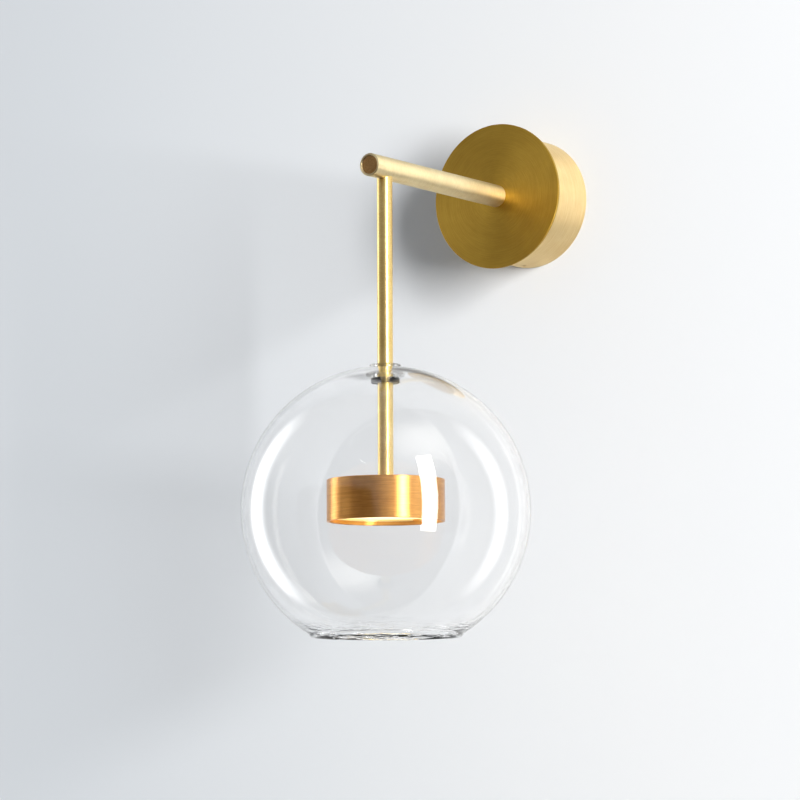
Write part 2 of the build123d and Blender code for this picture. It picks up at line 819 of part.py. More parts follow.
with BuildPart() as terminal_block:
    with BuildSketch(Plane.XZ.offset(plate_t)):
        with Locations((0, terminal_middle)):
            Rectangle(terminal_length, terminal_width)
    extrude(amount=terminal_height)
    fillet(terminal_block.edges().filter_by(Axis.Y), moulded_edge)
    with BuildSketch(Plane.XZ.offset(plate_t + terminal_height / 2)):
        for spot in terminal_screw_spots:
            with Locations(spot):
                Rectangle(block_screw_head_d / 2, terminal_width)
                Circle(block_screw_head_d / 2 + hole_clearance)
    extrude(amount=terminal_height, mode=Mode.SUBTRACT)
    with BuildSketch(Plane.XZ.offset(plate_t)):
        with Locations(*terminal_screw_spots):
            Circle(block_screw_d / 2 + hole_clearance)
    extrude(amount=terminal_height, mode=Mode.SUBTRACT)
    for x in pole_xs:
        with BuildSketch(Plane(origin=(x, -tube_y, terminal_middle - terminal_width / 2))):
            Circle(tube_d / 2 + thread_clearance)
        extrude(amount=terminal_width, mode=Mode.SUBTRACT)
    with BuildSketch(Plane.XZ.offset(tube_y)):
        with Locations(*clamp_spots):
            Circle(clamp_screw_d / 2 + hole_clearance)
    extrude(amount=terminal_height, mode=Mode.SUBTRACT)

with BuildPart() as terminal_tubes:
    for x in pole_xs:
        with BuildSketch(Plane(origin=(x, -tube_y, terminal_middle - tube_length / 2))):
            Circle(tube_d / 2)
            Circle(tube_bore / 2, mode=Mode.SUBTRACT)
        extrude(amount=tube_length)
    with BuildSketch(Plane.XZ.offset(tube_y)):
        with Locations(*clamp_spots):
            Circle(clamp_hole_r)
    extrude(amount=tube_d, mode=Mode.SUBTRACT)

with BuildPart() as terminal_screws:
    with BuildSketch(Plane.XZ.offset(clamp_tip)):
        with Locations(*clamp_spots):
            Circle(clamp_screw_d / 2)
    extrude(amount=clamp_screw_length)
    with BuildSketch(Plane.XZ.offset(clamp_tip + clamp_screw_length)):
        with Locations(*clamp_spots):
            Rectangle(2 * clamp_screw_d, clamp_screw_d / 5)
    extrude(amount=-clamp_screw_d / 4, mode=Mode.SUBTRACT)

terminal_block_screws = pan_screws(
    Plane.XZ.offset(plate_t + terminal_height / 2),
    terminal_screw_spots,
    block_screw_head_d,
    block_screw_head_h,
    block_screw_d,
    plate_t + terminal_height / 2 - screw_short,
)

earth_screw = pan_screws(
    Plane.XZ.offset(plate_t + lug_t), [earth_spot], m4_head_d, m4_head_h, m4_d, plate_t + lug_t - screw_short
)

barrel_y = plate_t + lug_barrel_d / 2
barrel_bottom = -earth_drop + lug_barrel_start

with BuildPart() as earth_lug:
    with BuildSketch(Plane.XZ.offset(plate_t)):
        with Locations(earth_spot):
            Circle(lug_ring_d / 2)
            Rectangle(lug_barrel_d, lug_barrel_start + lug_t, align=(Align.CENTER, Align.MIN))
            Circle(m4_d / 2 + hole_clearance, mode=Mode.SUBTRACT)
    extrude(amount=lug_t)
    with BuildSketch(Plane(origin=(earth_x, -barrel_y, barrel_bottom))):
        Circle(lug_barrel_d / 2)
    extrude(amount=lug_barrel_length)
    with BuildSketch(Plane(origin=(earth_x, -barrel_y, barrel_bottom))):
        Circle(lug_barrel_bore / 2)
    extrude(amount=lug_barrel_length, mode=Mode.SUBTRACT)

# Leads and the LED cable, each along straight runs joined by arcs


def bend_radii(points):
    """The largest arc that each corner's two runs allow."""
    spots = [Vector(*p) for p in points]
    radii = []
    for before, corner, after in zip(spots, spots[1:], spots[2:]):
        first = corner - before
        second = after - corner
        half_turn = radians(first.get_angle(second)) / 2
        radii.append(bend_share * min(first.length, second.length) / tan(half_turn))
    return radii


def wire(points, radii, diameter):
    """A round wire along a route. Its volume is printed beside its section times its length."""
    with BuildPart() as piece:
        with BuildLine() as route:
            FilletPolyline(*points, radius=radii)
        path = route.wire()
        with BuildSketch(Plane(origin=path @ 0, z_dir=path % 0)) as section:
            Circle(diameter / 2)
        sweep()
    length = path.length
    print("wire", round(length, 1), "radii", [round(r, 1) for r in radii])
    print("  volume", round(piece.part.volume, 2), "section by length", round(section.sketch.area * length, 2))
    return piece


def mains_lead(x):
    """A lead from its pole up to the driver's board, bowed a little away from the wall."""
    points = [
        (x, -tube_y, -terminal_drop - lead_in_terminal),
        (x, -tube_y, -terminal_drop + lead_in_case),
        (x, -tube_y - lead_bow, 0),
        (x, -lead_y, driver_lift - lead_in_case),
        (x, -lead_y, driver_lift + lead_in_case),
    ]
    return wire(points, bend_radii(points), lead_d)


live_lead = mains_lead(pole_xs[0])
neutral_lead = mains_lead(pole_xs[1])

earth_x_middle = (pole_xs[2] + earth_x) / 2
barrel_top = barrel_bottom + lug_barrel_length
earth_route = [
    (pole_xs[2], -tube_y, -terminal_drop - lead_in_terminal),
    (pole_xs[2], -tube_y, -terminal_drop + lead_in_case),
    (earth_x_middle, -tube_y, -terminal_drop + earth_rise),
    (earth_x, -(tube_y + barrel_y) / 2, barrel_top + earth_crest),
    (earth_x, -barrel_y, barrel_top + earth_straight),
    (earth_x, -barrel_y, barrel_top - lug_barrel_length / 2),
]
earth_lead = wire(earth_route, bend_radii(earth_route), lead_d)

cable_end = board_bottom - cable_past_board
cable_turn = (cable_x, cable_start[1], cable_turn_z)
cable_forward = (0, cable_start[1] + cable_x, 0)
cable_route = [cable_start, cable_turn, cable_forward, (0, -drop_out, 0), (0, -drop_out, cable_end)]
led_cable = wire(cable_route, [bend_radii(cable_route)[0], cable_turn_r, cable_elbow_r], cable_d)

# Write each piece

pieces = {
    "wall_bracket": wall_bracket,
    "canopy_drum": canopy_drum,
    "canopy_grub_screws": canopy_grub_screws,
    "front_disc": front_disc,
    "arm_tube": arm_tube,
    "arm_rear_bush": arm_rear_bush,
    "arm_nipple": arm_nipple,
    "arm_lock_washer": arm_lock_washer,
    "arm_lock_nut": arm_lock_nut,
    "elbow_block": elbow_block,
    "arm_end_cap": arm_end_cap,
    "drop_rod": drop_rod,
    "rod_upper_nipple": rod_upper_nipple,
    "rod_lower_nipple": rod_lower_nipple,
    "globe_clip": globe_clip,
    "globe_stop_ring": globe_stop_ring,
    "globe_bush": globe_bush,
    "glass_globe": glass_globe,
    "head_housing": head_housing,
    "head_washer": head_washer,
    "head_lock_nut": head_lock_nut,
    "heat_sink": heat_sink,
    "heat_sink_screws": heat_sink_screws,
    "led_board": led_board,
    "led_board_screws": led_board_screws,
    "led_chips": led_chips,
    "led_connector": led_connector,
    "reflector_ring": reflector_ring,
    "diffuser": diffuser,
    "diffuser_ring": diffuser_ring,
    "driver_case": driver_case,
    "driver_lid": driver_lid,
    "driver_board": driver_board,
    "driver_transformer": driver_transformer,
    "driver_capacitors": driver_capacitors,
    "driver_screws": driver_screws,
    "terminal_block": terminal_block,
    "terminal_tubes": terminal_tubes,
    "terminal_screws": terminal_screws,
    "terminal_block_screws": terminal_block_screws,
    "earth_screw": earth_screw,
    "earth_lug": earth_lug,
    "earth_lead": earth_lead,
    "live_lead": live_lead,
    "neutral_lead": neutral_lead,
    "led_cable": led_cable,
}

os.makedirs("parts", exist_ok=True)
for name, piece in pieces.items():
    piece.part.label = name
    export_step(piece.part, f"parts/{name}.step")
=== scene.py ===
from math import asin, atan2, cos, pi, radians, sin, sqrt

import bmesh
import bpy
from mathutils import Matrix, Vector


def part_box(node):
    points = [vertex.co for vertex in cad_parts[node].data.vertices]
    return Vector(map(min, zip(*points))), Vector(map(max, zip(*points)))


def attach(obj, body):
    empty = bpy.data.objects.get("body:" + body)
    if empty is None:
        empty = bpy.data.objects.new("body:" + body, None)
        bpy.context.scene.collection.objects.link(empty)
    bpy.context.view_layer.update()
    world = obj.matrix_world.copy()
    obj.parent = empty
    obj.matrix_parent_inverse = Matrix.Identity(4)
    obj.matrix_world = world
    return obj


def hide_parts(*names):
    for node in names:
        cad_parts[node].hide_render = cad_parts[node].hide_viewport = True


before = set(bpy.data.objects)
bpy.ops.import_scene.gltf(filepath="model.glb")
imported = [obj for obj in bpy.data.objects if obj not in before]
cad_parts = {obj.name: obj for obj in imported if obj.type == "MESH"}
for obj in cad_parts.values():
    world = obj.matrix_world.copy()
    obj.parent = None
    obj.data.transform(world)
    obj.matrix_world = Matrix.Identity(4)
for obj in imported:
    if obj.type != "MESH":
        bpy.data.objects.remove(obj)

# Globe wall sconce. Metres, +X to the right, +Y into the wall, +Z up. The wall is the plane y = 0.
# The rod, the lamp head and the glass globe stand round one upright line, the drop axis.

MM = 0.001
Y_AXIS = Vector((0, 1, 0))
Z_AXIS = Vector((0, 0, 1))
scene = bpy.context.scene
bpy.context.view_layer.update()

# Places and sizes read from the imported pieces

globe_low, globe_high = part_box("glass_globe")
rod_low, rod_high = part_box("drop_rod")
arm_low, arm_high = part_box("arm_tube")
disc_low, disc_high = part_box("front_disc")
diffuser_low, diffuser_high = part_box("diffuser")
drop = Vector(((rod_low.x + rod_high.x) / 2, (rod_low.y + rod_high.y) / 2, 0))  # on the drop axis
canopy = Vector(((disc_low.x + disc_high.x) / 2, 0, (disc_low.z + disc_high.z) / 2))  # on the disc's axis
arm = Vector(((arm_low.x + arm_high.x) / 2, 0, (arm_low.z + arm_high.z) / 2))  # on the arm's axis
diffuser_r = (diffuser_high.x - diffuser_low.x) / 2

# Sizes of the blown globe

inside_packed = 0.03 * MM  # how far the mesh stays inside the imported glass
globe_r = (globe_high.x - globe_low.x) / 2 - inside_packed
globe_wall = 2.5 * MM
hole_r = 11.0 * MM  # top hole, on the inside of the wall
hole_edge = 0.8 * MM  # rounding of the top hole's edges
lip_out = 50.6 * MM  # from the drop axis to the middle of the lip
lip_r = 2.3 * MM
mouth_growth = 0.9 * MM  # how much thicker the wall gets on its way down to the lip
mouth_reach = 0.32  # radians of the globe over which it does
arc_steps = 480
turn_steps = 180
lip_steps = 32
merge = 0.02 * MM  # vertices nearer than this are one
globe_centre = Vector((drop.x, drop.y, globe_high.z - sqrt(globe_r**2 - hole_r**2)))


# Tools

def linear(code):
    """An sRGB hex colour as the linear values that shaders take."""
    parts = [int(code[i : i + 2], 16) / 255 for i in (1, 3, 5)]
    return [p / 12.92 if p <= 0.04045 else ((p + 0.055) / 1.055) ** 2.4 for p in parts] + [1.0]


def add(tree, kind, settings=None, links=None):
    """Adds a node, gives it its settings and links what feeds it. A lower-case key is a setting of the node, and
    any other key is the name or number of an input."""
    node = tree.nodes.new("ShaderNode" + kind)
    sockets = {}
    for key, value in (settings or {}).items():
        if isinstance(key, str) and key.islower():
            setattr(node, key, value)
        else:
            sockets[key] = value
    for key, value in sockets.items():
        node.inputs[key].default_value = value
    for key, source in (links or {}).items():
        tree.links.new(source, node.inputs[key])
    return node


def start(name):
    """An empty material and its tree."""
    material = bpy.data.materials.new(name)
    material.use_nodes = True
    material.node_tree.nodes.clear()
    return material, material.node_tree


def end(tree, shader):
    """Sends a shader to the surface."""
    add(tree, "OutputMaterial", links={"Surface": shader})


def deselect():
    """Leaves nothing selected, so that an operator acts on the new piece alone."""
    if bpy.context.object and bpy.context.object.mode == "EDIT":
        bpy.ops.object.mode_set(mode="OBJECT")
    bpy.ops.object.select_all(action="DESELECT")


def settle(piece, name, body, slot, material, *stands_for):
    """Ends a piece: its place goes into its mesh, and it gets its name, body and material. slot is not used."""
    deselect()
    piece.select_set(True)
    bpy.context.view_layer.objects.active = piece
    bpy.ops.object.transform_apply(location=True, rotation=True, scale=True)
    piece.name = name
    piece.data.name = name
    piece.data.materials.clear()
    piece.data.materials.append(material)
    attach(piece, body)
    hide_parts(*stands_for)
    deselect()


# Brushed brass

scratch_step = 0.45 * MM  # real scratches are near 0.1 mm apart: drawn coarser, so that they show
scratch_depth = 0.004 * MM
scratch_changes = 2.5  # how often a scratch changes along its ring: patterns for each radian
stains = 45.0  # for each metre, so that a stain is about 22 mm across


def brushed_brass(name, bright, dull, through, axis, roughness, pull):
    """Satin brass, turned or brushed in circles. Its fine scratches are rings about an axis that goes through a
    point, and highlights pull out across them. bright is the bare metal and dull the metal in the scratches and
    under faint stains. pull is how far the highlights stretch."""
    material, tree = start(name)
    place = add(tree, "TexCoord").outputs["Object"]
    place = add(tree, "VectorMath", {"operation": "SUBTRACT", 1: through}, {0: place}).outputs[0]

    # A scratch keeps the same height along the axis and the same distance from it, all the way round
    flat = Vector((1, 1, 1)) - axis
    across = add(tree, "VectorMath", {"operation": "MULTIPLY", 1: flat}, {0: place}).outputs[0]
    height = add(tree, "VectorMath", {"operation": "DOT_PRODUCT", 1: axis}, {0: place}).outputs["Value"]
    reach = add(tree, "VectorMath", {"operation": "LENGTH"}, {0: across}).outputs["Value"]
    rings = add(tree, "Math", {"operation": "ADD"}, {0: height, 1: reach}).outputs[0]
    turn = add(tree, "VectorMath", {"operation": "NORMALIZE"}, {0: across}).outputs[0]
    turn = add(tree, "VectorMath", {"operation": "SCALE", "Scale": scratch_changes}, {0: turn}).outputs[0]
    along = add(tree, "CombineXYZ", links={"XYZ"[list(axis).index(1)]: rings}).outputs[0]
    along = add(tree, "VectorMath", {"operation": "SCALE", "Scale": 1 / scratch_step}, {0: along}).outputs[0]
    brushing = add(tree, "VectorMath", {"operation": "ADD"}, {0: turn, 1: along}).outputs[0]
    scratch = add(tree, "VectorMath", {"operation": "CROSS_PRODUCT", 0: axis}, {1: place}).outputs[0]

    fine = {"Scale": 1.0, "Detail": 3.0, "Roughness": 0.65}
    lines = add(tree, "TexNoise", fine, {"Vector": brushing}).outputs[0]
    broad = {"Scale": stains, "Detail": 4.0, "Roughness": 0.55}
    clouds = add(tree, "TexNoise", broad, {"Vector": place}).outputs[0]
    stained = {"From Min": 0.35, "From Max": 0.7, "To Min": 0.0, "To Max": 0.35}
    wear = add(tree, "MapRange", stained, {"Value": clouds}).outputs[0]
    scratched = {"From Min": 0.3, "From Max": 0.7, "To Min": 0.0, "To Max": 0.5}
    marks = add(tree, "MapRange", scratched, {"Value": lines}).outputs[0]
    share = add(tree, "Math", {"operation": "ADD", "use_clamp": True}, {0: wear, 1: marks}).outputs[0]
    tones = {"data_type": "RGBA", 6: linear(bright), 7: linear(dull)}
    colour = add(tree, "Mix", tones, {0: share}).outputs[2]
    gloss = {"From Min": 0.25, "From Max": 0.75, "To Min": roughness - 0.05, "To Max": roughness + 0.06}
    rough = add(tree, "MapRange", gloss, {"Value": lines}).outputs[0]
    relief = add(tree, "Bump", {"Strength": 0.6, "Distance": scratch_depth}, {"Height": lines}).outputs[0]
    metal = add(
        tree,
        "BsdfPrincipled",
        {"Metallic": 1.0, "Anisotropic": pull, "Anisotropic Rotation": 0.25},
        {"Base Color": colour, "Roughness": rough, "Normal": relief, "Tangent": scratch},
    )
    end(tree, metal.outputs[0])
    return material


# One for each brass piece that shows: its tones, what it was turned about, its roughness and its pull
brushed = {
    # flat sheet brushed in circles: old gold, with a brighter fan beside the arm
    "front_disc": ("brass_disc_circular_brushed", "#CBA748", "#AE8A36", canopy, Y_AXIS, 0.5, 0.5),
    # deep cup, brushed round its side: pale gold whose light runs from front to back
    "canopy_drum": ("brass_drum_circular_brushed", "#F8E2AE", "#DCBC80", canopy, Y_AXIS, 0.45, 0.9),
    # tube turned against fine grit: pale gold with one long soft band of light
    "arm_tube": ("brass_arm_turned", "#F4E6BE", "#D4BC84", arm, Y_AXIS, 0.44, 0.92),
    # thin tube, brighter finish: clear yellow gold with narrow light and dark bands
    "drop_rod": ("brass_rod_turned", "#F6DE98", "#CDA95E", drop, Z_AXIS, 0.38, 0.5),
    # cup round the light source: warm copper gold with wide light and dark bands
    "head_housing": ("brass_head_circular_brushed", "#EBB062", "#A4682A", drop, Z_AXIS, 0.35, 0.6),
    # ring round the lit diffuser: nearly cream in its light
    "diffuser_ring": ("brass_diffuser_ring_turned", "#FBEBC4", "#F0D9A2", drop, Z_AXIS, 0.4, 0.3),
    # end face cut on a lathe: brown gold, mottled with dark brown
    "arm_end_cap": ("brass_end_cap_turned", "#C69C66", "#5A3C1C", arm, Y_AXIS, 0.42, 0.2),
}
brushed = {node: brushed_brass(*facts) for node, facts in brushed.items()}


# Clear materials

rim_shade_start, rim_shade_end = 0.84, 0.97  # from where to where the painted shade darkens a clear wall, on its way to being seen edge on
mirror_tint = "#E4E4E4"  # takes a little off every reflection in a clear wall
mouth_streaks = (70, 70, 600)  # for each metre: streaks about 14 mm long and under 2 mm high
streak_top, streak_full = 12 * MM, 2 * MM  # above the lip: where the streaks begin, and where they are full


def clear(name, tint, edge, ior, roughness, ripple, size, drawn):
    """Clear glass or silicone with faint ripples, and with painted shade that darkens it where it is seen edge on:
    edge is the colour of that painted shade. ripple is the depth of the ripples and size their length. drawn is
    the depth of the streaks that the fire leaves round the mouth, or 0. Rays that only ask whether a lamp is
    hidden pass straight through, because the real one throws almost no shadow."""
    material, tree = start(name)
    # Painted shade: the colour turns from tint to edge, a dark outline, as the wall is seen more nearly edge on
    slant = add(tree, "LayerWeight", {"Blend": 0.5}).outputs["Facing"]
    rim = add(tree, "MapRange", {"From Min": rim_shade_start, "From Max": rim_shade_end}, {"Value": slant}).outputs[0]
    tones = {"data_type": "RGBA", 6: linear(tint), 7: linear(edge)}
    colour = add(tree, "Mix", tones, {0: rim}).outputs[2]
    place = add(tree, "TexCoord").outputs["Object"]
    waves = add(tree, "TexNoise", {"Scale": 1 / size, "Detail": 1.0}, {"Vector": place}).outputs[0]
    relief = add(tree, "Bump", {"Strength": 1.0, "Distance": ripple}, {"Height": waves}).outputs[0]
    if drawn:
        streaks = add(tree, "VectorMath", {"operation": "MULTIPLY", 1: mouth_streaks}, {0: place}).outputs[0]
        torn = {"Scale": 1.0, "Detail": 2.0, "Distortion": 0.6}
        streaks = add(tree, "TexNoise", torn, {"Vector": streaks}).outputs[0]
        height = add(tree, "SeparateXYZ", links={0: place}).outputs[2]
        ends = {"From Min": globe_low.z + streak_top, "From Max": globe_low.z + streak_full}
        near = add(tree, "MapRange", {"interpolation_type": "SMOOTHSTEP", **ends}, {"Value": height}).outputs[0]
        streaks = add(tree, "Math", {"operation": "MULTIPLY"}, {0: streaks, 1: near}).outputs[0]
        links = {"Height": streaks, "Normal": relief}
        relief = add(tree, "Bump", {"Strength": 1.0, "Distance": drawn}, links).outputs[0]
    body = add(
        tree,
        "BsdfPrincipled",
        {"Roughness": roughness, "IOR": ior, "Transmission Weight": 1.0, "Specular Tint": linear(mirror_tint)},
        {"Base Color": colour, "Normal": relief},
    ).outputs[0]
    through = add(tree, "BsdfTransparent", {"Color": linear("#FFFFFF")}).outputs[0]
    lamp_ray = add(tree, "LightPath").outputs["Is Shadow Ray"]
    end(tree, add(tree, "MixShader", {}, {0: lamp_ray, 1: body, 2: through}).outputs[0])
    return material


# blown glass: quite clear, with a thin grey line of painted shade round its outline and drawn streaks at the mouth
globe_glass = clear("blown_clear_glass", "#FDFDFD", "#4E5050", 1.5, 0.0, 0.02 * MM, 60 * MM, 0.45 * MM)
# moulded silicone: clear, with a faint grey painted shade where it is seen edge on
bush_silicone = clear("moulded_clear_silicone", "#F4F4F1", "#C8C8C4", 1.41, 0.12, 0.01 * MM, 3 * MM, 0)


# Opal diffuser

def lit_opal():
    """Opal acrylic with the light source behind it: warm white in the middle, and yellower towards its rim with
    painted warm light, in its glow and in its colour.
    """
    speck = 2 * MM
    material, tree = start("opal_acrylic_lit")
    place = add(tree, "TexCoord").outputs["Object"]
    place = add(tree, "VectorMath", {"operation": "SUBTRACT", 1: drop}, {0: place}).outputs[0]
    across = add(tree, "VectorMath", {"operation": "MULTIPLY", 1: (1, 1, 0)}, {0: place}).outputs[0]
    reach = add(tree, "VectorMath", {"operation": "LENGTH"}, {0: across}).outputs["Value"]
    painted_warm_rim = {"From Min": 0.35 * diffuser_r, "From Max": diffuser_r}
    share = add(tree, "MapRange", painted_warm_rim, {"Value": reach}).outputs[0]
    # Painted warm light: glow and colour turn yellower from the middle towards the rim
    tones = {"data_type": "RGBA", 6: linear("#FFF8E4"), 7: linear("#FFE88C")}
    glow = add(tree, "Mix", tones, {0: share}).outputs[2]
    specks = add(tree, "TexNoise", {"Scale": 1 / speck, "Detail": 2.0}, {"Vector": place}).outputs[0]
    rough = add(tree, "MapRange", {"To Min": 0.35, "To Max": 0.45}, {"Value": specks}).outputs[0]
    acrylic = add(
        tree,
        "BsdfPrincipled",
        {"IOR": 1.49, "Emission Strength": 1.2},
        {"Base Color": glow, "Emission Color": glow, "Roughness": rough},
    )
    end(tree, acrylic.outputs[0])
    return material


# Plain surfaces, nearly all of them inside the canopy, the arm and the head

def plain_surface(name, light, dark, least, most, patch, relief=0.0, extra=None):
    """A surface whose colour goes from light to dark, and its roughness from least to most, over patches of one
    size. relief is how deep its grain is."""
    material, tree = start(name)
    place = add(tree, "TexCoord").outputs["Object"]
    grain = {"Scale": 1 / patch, "Detail": 4.0, "Roughness": 0.6}
    patches = add(tree, "TexNoise", grain, {"Vector": place}).outputs[0]
    tones = {"data_type": "RGBA", 6: linear(light), 7: linear(dark)}
    colour = add(tree, "Mix", tones, {0: patches}).outputs[2]
    gloss = {"From Min": 0.3, "From Max": 0.7, "To Min": least, "To Max": most}
    rough = add(tree, "MapRange", gloss, {"Value": patches}).outputs[0]
    links = {"Base Color": colour, "Roughness": rough}
    if relief:
        links["Normal"] = add(tree, "Bump", {"Strength": 0.7, "Distance": relief}, {"Height": patches}).outputs[0]
    end(tree, add(tree, "BsdfPrincipled", extra, links).outputs[0])
    return material


def striped_pvc():
    """Extruded PVC of the earth lead: green, with yellow stripes that wind round it."""
    stripe = 9 * MM
    material, tree = start("pvc_green_yellow")
    place = add(tree, "TexCoord").outputs["Object"]
    winding = {"bands_direction": "DIAGONAL", "Scale": 1 / stripe, "Distortion": 0.5}
    bands = add(tree, "TexWave", winding, {"Vector": place}).outputs[1]
    side = add(tree, "Math", {"operation": "GREATER_THAN", 1: 0.6}, {0: bands}).outputs[0]
    tones = {"data_type": "RGBA", 6: linear("#3E8C3A"), 7: linear("#E4C82E")}
    colour = add(tree, "Mix", tones, {0: side}).outputs[2]
    end(tree, add(tree, "BsdfPrincipled", {"Roughness": 0.45, "IOR": 1.53}, {"Base Color": colour}).outputs[0])
    return material


METAL = {"Metallic": 1.0}

# For each slot of the record: name, light and dark tone, least and most roughness, patch size, depth of grain
plain = {
    # bushes, elbow and terminal tubes, cut from bar: dull gold with small stains
    "plain_brass": ("brass_cut_from_bar", "#C3A267", "#A98749", 0.28, 0.42, 1.5 * MM, 0, METAL),
    # bracket, screws, nuts and nipples: cool grey with a faint yellow bloom
    "zinc_plated_steel": ("steel_zinc_plated", "#BFC2C4", "#A9ABA4", 0.32, 0.5, 6 * MM, 0, METAL),
    # clip, hardened and oiled: dark blue grey
    "spring_steel": ("steel_spring_tempered", "#5E6166", "#474A4F", 0.3, 0.45, 2 * MM, 0, METAL),
    # stop ring, moulded: deep black with a soft sheen
    "black_rubber": ("rubber_black_moulded", "#040404", "#0A0A0B", 0.4, 0.55, 1.5 * MM, 0, {"IOR": 1.53}),
    # heat sink, cast in a steel mould: pale grey with a fine grain
    "cast_aluminium": ("aluminium_die_cast", "#B9BCBE", "#A2A5A8", 0.4, 0.55, 1.2 * MM, 0.01 * MM, METAL),
    # light board's coating: glossy white
    "white_board": ("solder_mask_white", "#F1F0EA", "#E8E7E0", 0.3, 0.4, 3 * MM),
    # the light source's coating: egg yellow, finely speckled
    "led_phosphor": ("phosphor_yellow", "#F2D35A", "#E6BE3C", 0.4, 0.5, 0.5 * MM),
    # terminal, connector and reflector, moulded: warm white, half matt
    "white_plastic": ("polycarbonate_white_moulded", "#F2F1EC", "#EAE8E1", 0.35, 0.5, 2 * MM),
    # driver case, from a mould with a spark-eroded grain: soft black
    "black_plastic": ("polycarbonate_black_moulded", "#1B1C1E", "#242528", 0.38, 0.5, 0.8 * MM, 0.01 * MM),
    # driver board's coating: glossy green, a little uneven
    "board_green": ("circuit_board_green", "#1F5A33", "#2A6B3E", 0.3, 0.42, 3 * MM),
    # transformer's wrapping: clear yellow film, glossy
    "transformer_tape": ("polyester_tape_yellow", "#E0B92C", "#CFA620", 0.25, 0.4, 4 * MM),
    # capacitors' shrunk sleeves: glossy dark blue
    "capacitor_sleeve": ("pvc_sleeve_dark_blue", "#232A45", "#2C3350", 0.22, 0.35, 3 * MM),
    # earth lug, dipped in tin: warm silver with dull patches
    "tinned_copper": ("copper_tinned", "#C9C7C0", "#B5B2A8", 0.3, 0.45, 1.5 * MM, 0, METAL),
    # leads and cable, extruded: even colours with a soft sheen
    "brown_pvc": ("pvc_brown_extruded", "#6B3F26", "#5D351F", 0.38, 0.5, 2 * MM),
    "blue_pvc": ("pvc_blue_extruded", "#2F62A8", "#285694", 0.38, 0.5, 2 * MM),
    "white_silicone": ("silicone_white_extruded", "#F0EEEA", "#E4E2DC", 0.45, 0.6, 2 * MM),
}
finishes = {slot: plain_surface(*facts) for slot, facts in plain.items()}
finishes["opal_acrylic"] = lit_opal()
finishes["green_yellow_pvc"] = striped_pvc()
finishes["clear_silicone"] = bush_silicone
finishes["clear_glass"] = globe_glass
for name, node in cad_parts.items():
    for place in node.material_slots:
        place.material = brushed.get(name) or finishes[place.material.name.split(".")[0]]


# Glass globe. Half of its outline, from the top hole to the mouth, is spun about the drop axis and given its wall.

deselect()
bpy.ops.mesh.primitive_circle_add(
    vertices=arc_steps, radius=globe_r, location=globe_centre, rotation=(pi / 2, 0, 0)
)
globe = bpy.context.object
bpy.ops.object.transform_apply(location=True, rotation=True, scale=True)
bpy.ops.object.mode_set(mode="EDIT")
bpy.ops.mesh.select_all(action="SELECT")
outer_hole_r = hole_r * globe_r / (globe_r - globe_wall)
bpy.ops.mesh.bisect(
    plane_co=globe_centre + Vector((outer_hole_r, 0, 0)), plane_no=(1, 0, 0), clear_inner=True, clear_outer=False
)
middle_r = globe_r - globe_wall / 2
lip_angle = asin(lip_out / middle_r)  # between straight down and the middle of the lip, from the globe's centre
bpy.ops.mesh.select_all(action="SELECT")
bpy.ops.mesh.bisect(
    plane_co=globe_centre, plane_no=(cos(lip_angle), 0, sin(lip_angle)), clear_inner=True, clear_outer=False
)
bpy.ops.mesh.select_all(action="SELECT")
bpy.ops.mesh.spin(steps=turn_steps, angle=2 * pi, center=globe_centre, axis=(0, 0, 1))
bpy.ops.mesh.select_all(action="SELECT")
bpy.ops.mesh.remove_doubles(threshold=merge)
bpy.ops.mesh.normals_make_consistent(inside=False)
bpy.ops.object.mode_set(mode="OBJECT")
wall = globe.modifiers.new("wall", "SOLIDIFY")
wall.thickness = globe_wall
wall.offset = -1
bpy.ops.object.modifier_apply(modifier="wall")


def from_mouth(place):
    """The angle between straight down and a point, seen from the globe's centre, and its distance from there."""
    spot = place - globe_centre
    return atan2(sqrt(spot.x**2 + spot.y**2), -spot.z), spot.length


def at_top_hole(place):
    """True for a point on one of the top hole's two edges."""
    return pi - from_mouth(place)[0] < asin(outer_hole_r / globe_r) + merge / globe_r


def select_edges(piece, where):
    """In edit mode, selects only the edges whose two ends pass a test of their place."""
    bpy.ops.mesh.select_mode(type="EDGE")
    bpy.ops.mesh.select_all(action="DESELECT")
    shape = bmesh.from_edit_mesh(piece.data)
    for edge in shape.edges:
        edge.select_set(all(where(vertex.co) for vertex in edge.verts))
    bmesh.update_edit_mesh(piece.data)


# The inside of the wall moves in towards the mouth, because the glass gathers there as it melts

for vertex in globe.data.vertices:
    slant, reach = from_mouth(vertex.co)
    if reach < middle_r and slant < lip_angle + mouth_reach:
        share = (1 - (slant - lip_angle) / mouth_reach) ** 2
        vertex.co -= (vertex.co - globe_centre).normalized() * mouth_growth * share

# The edges of the top hole are ground round

bpy.ops.object.mode_set(mode="EDIT")
select_edges(globe, at_top_hole)
bpy.ops.mesh.bevel(offset=hole_edge, segments=4, affect="EDGES")
bpy.ops.mesh.select_mode(type="VERT")
bpy.ops.mesh.select_all(action="DESELECT")
bpy.ops.object.mode_set(mode="OBJECT")

# The mouth ends in a fire-polished lip, a round bead that is a little thicker than the wall

deselect()
bpy.ops.mesh.primitive_torus_add(
    location=(drop.x, drop.y, globe_centre.z - middle_r * cos(lip_angle)),
    major_segments=turn_steps,
    minor_segments=lip_steps,
    major_radius=lip_out,
    minor_radius=lip_r - inside_packed,
)
lip = bpy.context.object
deselect()
globe.select_set(True)
bpy.context.view_layer.objects.active = globe
melt = globe.modifiers.new("melt", "BOOLEAN")
melt.operation = "UNION"
melt.object = lip
bpy.ops.object.modifier_apply(modifier="melt")
bpy.data.objects.remove(lip)
settle(globe, "blown_globe", "globe", "clear_glass", globe_glass, "glass_globe")
globe.data.shade_smooth()


# Studio: a pale wall, a soft pale world, one lamp, and cards that only reflections show

